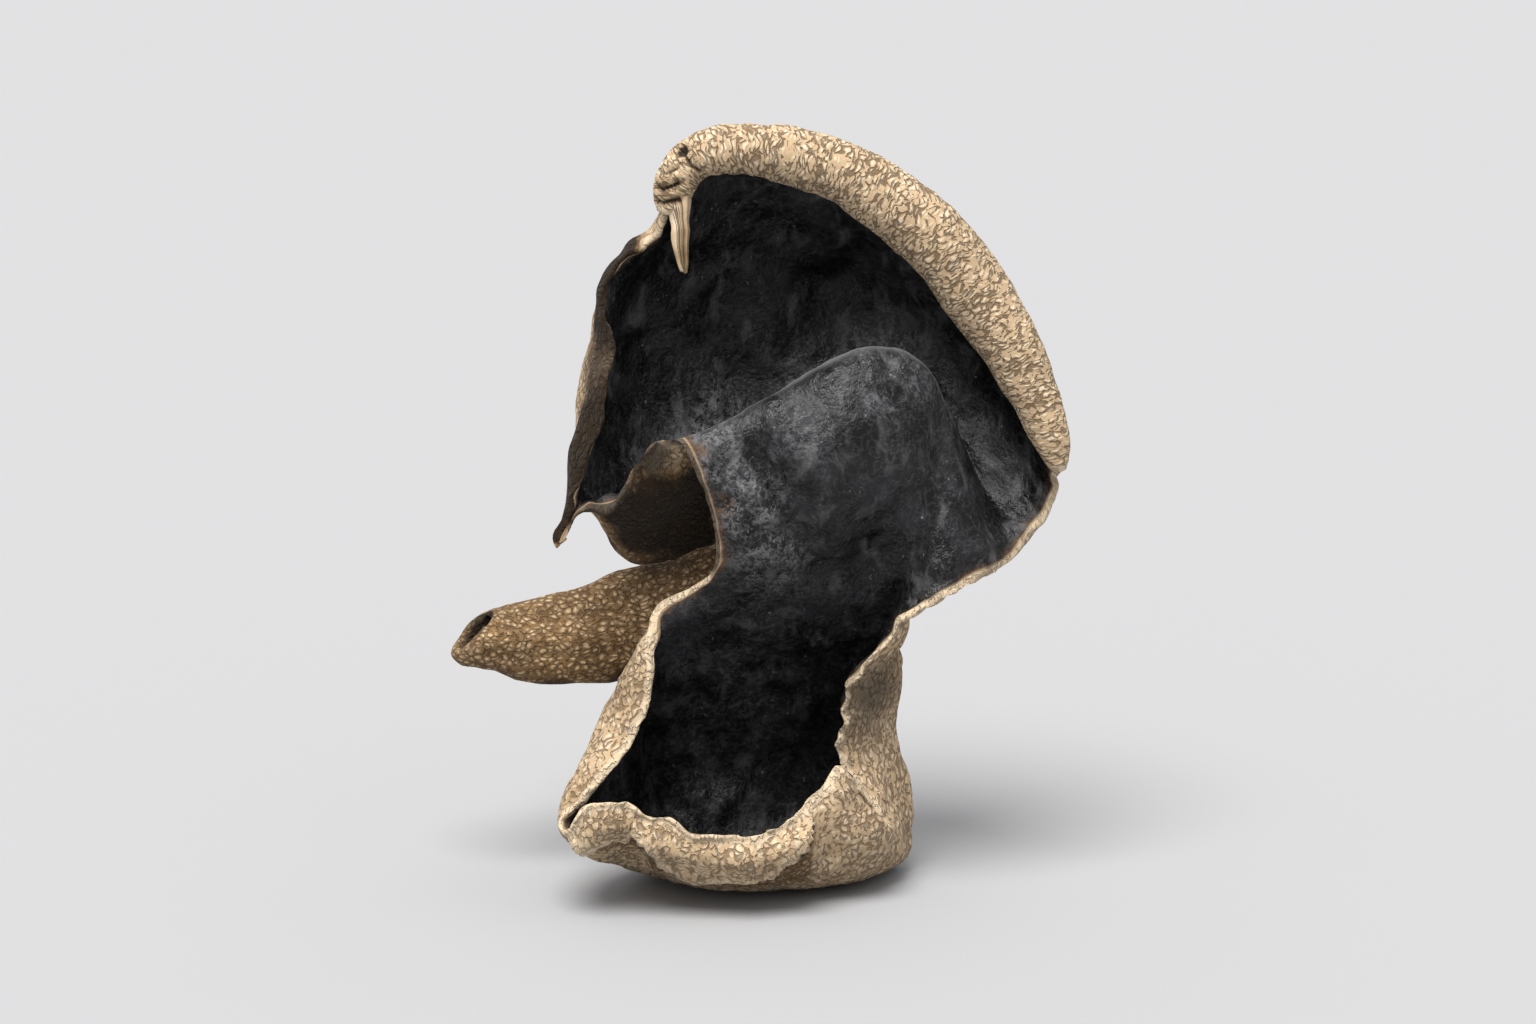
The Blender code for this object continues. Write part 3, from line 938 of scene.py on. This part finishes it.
def felt_cells(tree, vector, scale):
    """The felt's network: how deep a place lies in a crevice, and how high on a mound between them."""
    drawn = stretch(tree, wander(tree, vector, 0.8, 0.9), scale)
    fine = reckon(tree, "SUBTRACT", grain(tree, drawn, 1.2, 2.0, 0.6), 0.5)
    to_edge = spots(tree, drawn, 1.0, "DISTANCE_TO_EDGE")
    to_crevice = reckon(tree, "ADD", to_edge, reckon(tree, "MULTIPLY", fine, 1.3))
    to_middle = reckon(tree, "ADD", spots(tree, drawn, 1.0), reckon(tree, "MULTIPLY", fine, 1.5))
    width = spread(tree, grain(tree, vector, 0.4), 0.36, 0.64, 0.1, 0.2)
    crevices = spread(tree, to_crevice, width, reckon(tree, "SUBTRACT", width, 0.2))
    return crevices, spread(tree, to_middle, 0.6, 0.05)


def make_felt(colours):
    """Sandy felt: cream mounds, brown crevices, greyer and browner places, a pale margin, and painted shade
    under the lip and the base, in the bore, under the hem and in the furrows.
    """
    material, tree, shader = new_material("sandy_felt")
    place = place_in_mm(tree)
    horn = spread(tree, attribute(tree, "horn"), 0.25, 0.8)
    off_roll = spread(tree, attribute(tree, "row"), ROLL_STEPS + 0.5, ROLL_STEPS + 1.5)
    on_roll = felt_cells(tree, attribute(tree, "lay", "Vector"), (3.1, 1.35, 1.0))
    on_sheet = felt_cells(tree, place, (2.1, 2.1, 1.6))
    on_horn = felt_cells(tree, place, (1.9, 2.5, 2.5))
    below = [mix_values(tree, horn, *pair) for pair in zip(on_sheet, on_horn)]
    crevices, mounds = [mix_values(tree, off_roll, *pair) for pair in zip(on_roll, below)]
    fibres = grain(tree, place, 6.0, 3.0, 0.7)
    clouds = grain(tree, place, 0.2)

    brown = attribute(tree, "brown")
    warm = reckon(tree, "MAXIMUM", horn, spread(tree, brown, 0.1, 0.8))
    ground = tint(tree, warm, colours.felt_sand[:], colours.felt_tan[:])
    top = tint(tree, reckon(tree, "MULTIPLY", warm, 0.8), colours.felt_cream[:], colours.felt_gold[:])
    paleness = spread(tree, off_roll, 0.0, 1.0, 0.8, 0.65)
    raised = reckon(tree, "MAXIMUM", paleness, reckon(tree, "MULTIPLY", horn, 0.95))
    sand = tint(tree, reckon(tree, "MULTIPLY", mounds, raised), ground, top)
    speckled = tint(tree, spread(tree, fibres, 0.45, 0.7, 0.0, 0.15), sand, top)
    grey = spread(tree, attribute(tree, "grey"), 0.1, 0.75, 0.0, 0.93)
    greyed = reckon(tree, "MAXIMUM", spread(tree, clouds, 0.5, 0.7, 0.0, 0.12), grey)
    stained = tint(tree, greyed, speckled, colours.stain_grey[:])
    darkness = spread(tree, off_roll, 0.0, 1.0, 0.72, 0.58)
    creviced = tint(tree, reckon(tree, "MULTIPLY", crevices, darkness), stained, colours.crevice_and_shade_brown[:])
    # Where 'brown' runs high the felt is painted in deep shade
    shadowed = tint(tree, spread(tree, brown, 0.6, 1.25, 0.0, 0.96), creviced, colours.deep_shade_brown[:])

    rim = spread(tree, attribute(tree, "inset"), 0.3, 0.08, 0.0, 0.5)
    pale_edge = reckon(tree, "MAXIMUM", rim, reckon(tree, "MULTIPLY", attribute(tree, "hem"), 0.6))
    stained_edge = reckon(tree, "MAXIMUM", grey, spread(tree, brown, 0.3, 0.8))
    unstained = reckon(tree, "SUBTRACT", 1.0, reckon(tree, "MAXIMUM", horn, stained_edge))
    edge = reckon(tree, "MULTIPLY", pale_edge, unstained)
    rimmed = tint(tree, edge, shadowed, colours.felt_cream[:])
    # Painted shade in the base's bore, in the roll's pits and under the hem's free edge
    bore = spread(tree, attribute(tree, "bore"), 0.1, 0.7, 0.0, 0.95)
    hollow = tint(tree, bore, rimmed, colours.deep_shade_brown[:])
    # Painted shade in the furrows of the relief
    furrows = spread(tree, attribute(tree, "relief"), 0.2, -1.2, 0.0, 0.25)
    link(tree, tint(tree, furrows, hollow, colours.crevice_and_shade_brown[:]), shader.inputs["Base Color"])

    shader.inputs["Roughness"].default_value = 0.95
    shader.inputs["Specular IOR Level"].default_value = 0.12
    shader.inputs["Sheen Weight"].default_value = 0.06
    shader.inputs["Sheen Roughness"].default_value = 0.5
    nap = reckon(tree, "ADD", reckon(tree, "MULTIPLY", fibres, 0.35), reckon(tree, "MULTIPLY", mounds, 0.4))
    add_bump(tree, shader, reckon(tree, "SUBTRACT", nap, crevices), FELT_BUMP * MM, 0.9)
    return material


def make_skin(colours):
    """Black jelly skin: satin, clouded, dusty on the ridge, brown where it has worn off or torn, with
    painted sheen streaks, painted glints and a painted highlight along the crest.
    """
    material, tree, shader = new_material("black_skin")
    place = place_in_mm(tree)
    curved = wander(tree, place, 0.35, 1.6)
    clouds = grain(tree, place, 0.3, 3.0, 0.6)
    mottle = grain(tree, place, 1.5, 3.0, 0.7)
    pores = grain(tree, place, 3.2, 3.0, 0.65)
    wrinkles = grain(tree, stretch(tree, curved, (0.9, 0.9, 0.6)), 1.0, 3.0, 0.55)
    # Soft streaks of painted sheen over the face
    sheen_streaks = grain(tree, stretch(tree, curved, (0.75, 0.5, 0.3)), 1.0, 3.0, 0.6)
    flecks = grain(tree, stretch(tree, curved, (2.6, 2.6, 1.7)), 1.0, 2.0, 0.6)
    base = tint(tree, spread(tree, clouds, 0.42, 0.62), colours.skin_black[:], colours.skin_charcoal[:])
    sheen_streaked = tint(tree, spread(tree, sheen_streaks, 0.52, 0.74, 0.0, 0.3), base, colours.dust_and_sheen_grey[:])

    patchy = reckon(tree, "MULTIPLY", attribute(tree, "dust"), spread(tree, clouds, 0.38, 0.58, 0.2, 1.1))
    in_wrinkles = spread(tree, wrinkles, 0.42, 0.64, 0.0, 0.25)
    dusting = reckon(tree, "ADD", in_wrinkles, spread(tree, mottle, 0.49, 0.6, 0.0, 0.7))
    film = reckon(tree, "MULTIPLY", patchy, dusting)
    filmed = tint(tree, film, sheen_streaked, colours.dust_and_sheen_grey[:])
    crackle = reckon(tree, "ABSOLUTE", reckon(tree, "SUBTRACT", grain(tree, curved, 1.6, 2.0, 0.6), 0.5))
    in_dust = reckon(tree, "ADD", reckon(tree, "MULTIPLY", patchy, 0.6), 0.1)
    lines = reckon(tree, "MULTIPLY", spread(tree, crackle, 0.045, 0.0), in_dust)
    # A painted highlight along the ridge's crest, over the dust's crackle lines
    crest = reckon(tree, "MULTIPLY", attribute(tree, "crest"), 0.8)
    crackled_and_highlit = tint(tree, reckon(tree, "MAXIMUM", lines, crest), filmed, colours.dust_and_sheen_grey[:])

    # Bright flecks and specks: dust, and painted glints
    threshold = spread(tree, patchy, 0.0, 1.0, 0.70, 0.57)
    sparks = spread(tree, flecks, threshold, reckon(tree, "ADD", threshold, 0.06), 0.0, 0.55)
    specks = spread(tree, spots(tree, place, 1.5), 0.2, 0.1, 0.0, 0.9)
    rarity = spread(tree, patchy, 0.0, 0.8, 0.66, 0.42)
    kept = spread(tree, grain(tree, place, 0.9, 1.0), rarity, 0.72)
    dust_and_glints = reckon(tree, "MAXIMUM", sparks, reckon(tree, "MULTIPLY", specks, kept))
    dust_and_glint_flecked = tint(tree, dust_and_glints, crackled_and_highlit, colours.dust_and_sheen_grey[:])

    inset = attribute(tree, "inset")
    ragged = reckon(tree, "ADD", inset, reckon(tree, "MULTIPLY", reckon(tree, "SUBTRACT", pores, 0.5), 2.5))
    cloudy = spread(tree, clouds, 0.42, 0.6, 0.1, 0.8)
    wear = reckon(tree, "MULTIPLY", spread(tree, ragged, 1.3, 0.1), cloudy)
    bared = spread(tree, mottle, 0.42, 0.58, 0.1, 0.85)
    torn = reckon(tree, "MULTIPLY", spread(tree, attribute(tree, "torn"), 0.3, 0.8), bared)
    worn = tint(tree, reckon(tree, "MAXIMUM", wear, torn), dust_and_glint_flecked, colours.worn_brown[:])
    edged = tint(tree, spread(tree, inset, 0.4, 0.08, 0.0, 0.5), worn, colours.felt_sand[:])
    link(tree, edged, shader.inputs["Base Color"])

    satin = spread(tree, clouds, 0.35, 0.7, 0.36, 0.56)
    dull = reckon(tree, "MULTIPLY", reckon(tree, "ADD", film, wear), 0.4)
    link(tree, reckon(tree, "ADD", satin, dull), shader.inputs["Roughness"])
    shader.inputs["Specular IOR Level"].default_value = 0.28
    fine = reckon(tree, "ADD", wrinkles, reckon(tree, "MULTIPLY", pores, 0.3))
    height = reckon(tree, "ADD", fine, reckon(tree, "MULTIPLY", flecks, 0.25))
    add_bump(tree, shader, height, SKIN_BUMP * MM, 0.8)
    return material


# The stage


def aim(thing, point):
    away = Vector(point) - thing.location
    thing.rotation_euler = away.to_track_quat("-Z", "Y").to_euler()


def add_floor(colour):
    deselect_all()
    bpy.ops.mesh.primitive_circle_add(vertices=FLOOR_CORNERS, radius=FLOOR_RADIUS, fill_type="NGON")
    floor = bpy.context.object
    floor.name = "floor"
    material, _, shader = new_material("pale_floor")
    shader.inputs["Base Color"].default_value = colour
    shader.inputs["Roughness"].default_value = 0.9
    shader.inputs["Specular IOR Level"].default_value = 0.1
    floor.data.materials.append(material)


def add_sun():
    deselect_all()
    bpy.ops.object.light_add(type="SUN", location=Vector(SUN_DIRECTION) * -SUN_DISTANCE)
    lamp = bpy.context.object
    lamp.name = "key_light"
    lamp.data.energy = SUN_STRENGTH
    lamp.data.angle = math.radians(SUN_WIDTH_DEG)
    lamp.data.color = SUN_COLOUR
    aim(lamp, (0.0, 0.0, 0.0))


def light_room():
    """Light the room softly from all round, and more from overhead."""
    world = bpy.data.worlds.new("pale_room")
    world.use_nodes = True
    tree = world.node_tree
    heading = add_node(tree, "TexCoord", {}).outputs["Generated"]
    rise = add_node(tree, "SeparateXYZ", {"Vector": heading}).outputs["Z"]
    overhead = spread(tree, rise, 0.1, 0.95)
    link(tree, tint(tree, overhead, HORIZON_GREY, OVERHEAD_WHITE), tree.nodes["Background"].inputs["Color"])
    bpy.context.scene.world = world


def add_camera(stage):
    target = in_metres(CAMERA_TARGET)
    rise = stage.camera_elevation
    away = Vector((0.0, -math.cos(rise), math.sin(rise))) * stage.camera_distance
    deselect_all()
    bpy.ops.object.camera_add(location=target + away)
    camera = bpy.context.object
    camera.name = "camera"
    camera.data.lens = stage.lens
    camera.data.clip_start = 0.01
    aim(camera, target)
    bpy.context.scene.camera = camera


# Operators


class WOODEAR_OT_make_ear(Operator):
    """Model the ear's sheet with its roll, ridge, cleft, scoop and felted base"""

    bl_idname = "wood_ear.make_ear"
    bl_label = "Make Ear"
    bl_options = {"REGISTER", "UNDO"}

    def execute(self, context):
        sizes = context.scene.wood_ear_sizes
        colours = context.scene.wood_ear_colours
        ear = lay_sheet("dressed_ear")
        mesh = ear.data
        mesh.materials.append(make_skin(colours))
        mesh.materials.append(make_felt(colours))
        subdivide(ear, CAGE_LEVELS)
        mesh.attributes.remove(mesh.attributes["crease_edge"])
        store(mesh, "front", read_normals(mesh))
        store(mesh, "inset", measure_inset(mesh))
        store(mesh, "horn", np.zeros(len(mesh.vertices)))
        store(mesh, "bore", np.zeros(len(mesh.vertices)))
        thicken(ear, sizes.sheet_thickness)
        make_active(ear)
        bpy.ops.object.mode_set(mode="EDIT")
        grow_horn(ear)
        grow_shred(ear)
        bpy.ops.object.mode_set(mode="OBJECT")
        subdivide(ear, SURFACE_LEVELS)
        bend_sheet(mesh, sizes)
        crease_horn(mesh)
        turn_hem(mesh, sizes)
        roughen(mesh, sizes)
        press_pits(mesh)
        mark_colours(mesh)
        make_active(ear)
        bpy.ops.object.shade_smooth()
        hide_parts("wood_ear")
        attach(ear, "root")
        return {"FINISHED"}


class WOODEAR_OT_set_stage(Operator):
    """Lay the pale floor, hang the soft lights and set the camera"""

    bl_idname = "wood_ear.set_stage"
    bl_label = "Set Stage"
    bl_options = {"REGISTER", "UNDO"}

    def execute(self, context):
        stage = context.scene.wood_ear_stage
        add_floor(stage.floor_grey[:])
        add_sun()
        light_room()
        add_camera(stage)
        context.scene.view_settings.view_transform = "Standard"
        return {"FINISHED"}


class WOODEAR_PT_panel(Panel):
    """Lists what this script makes"""

    bl_idname = "WOODEAR_PT_panel"
    bl_label = "Dried Wood Ear"
    bl_space_type = "VIEW_3D"
    bl_region_type = "UI"
    bl_category = "Wood Ear"

    def draw(self, context):
        layout = self.layout
        groups = (context.scene.wood_ear_sizes, context.scene.wood_ear_colours, context.scene.wood_ear_stage)
        for group in groups:
            box = layout.box()
            for name in group.__annotations__:
                box.prop(group, name)
        layout.operator(WOODEAR_OT_make_ear.bl_idname)
        layout.operator(WOODEAR_OT_set_stage.bl_idname)


CLASSES = (
    WoodEarSizes, WoodEarColours, WoodEarStage,
    WOODEAR_OT_make_ear, WOODEAR_OT_set_stage, WOODEAR_PT_panel,
)


def register():
    for kind in CLASSES:
        bpy.utils.register_class(kind)
    bpy.types.Scene.wood_ear_sizes = PointerProperty(type=WoodEarSizes)
    bpy.types.Scene.wood_ear_colours = PointerProperty(type=WoodEarColours)
    bpy.types.Scene.wood_ear_stage = PointerProperty(type=WoodEarStage)


def unregister():
    del bpy.types.Scene.wood_ear_stage
    del bpy.types.Scene.wood_ear_colours
    del bpy.types.Scene.wood_ear_sizes
    for kind in reversed(CLASSES):
        bpy.utils.unregister_class(kind)


def main():
    register()
    bpy.ops.wood_ear.make_ear()
    bpy.ops.wood_ear.set_stage()


if __name__ == "__main__":
    main()
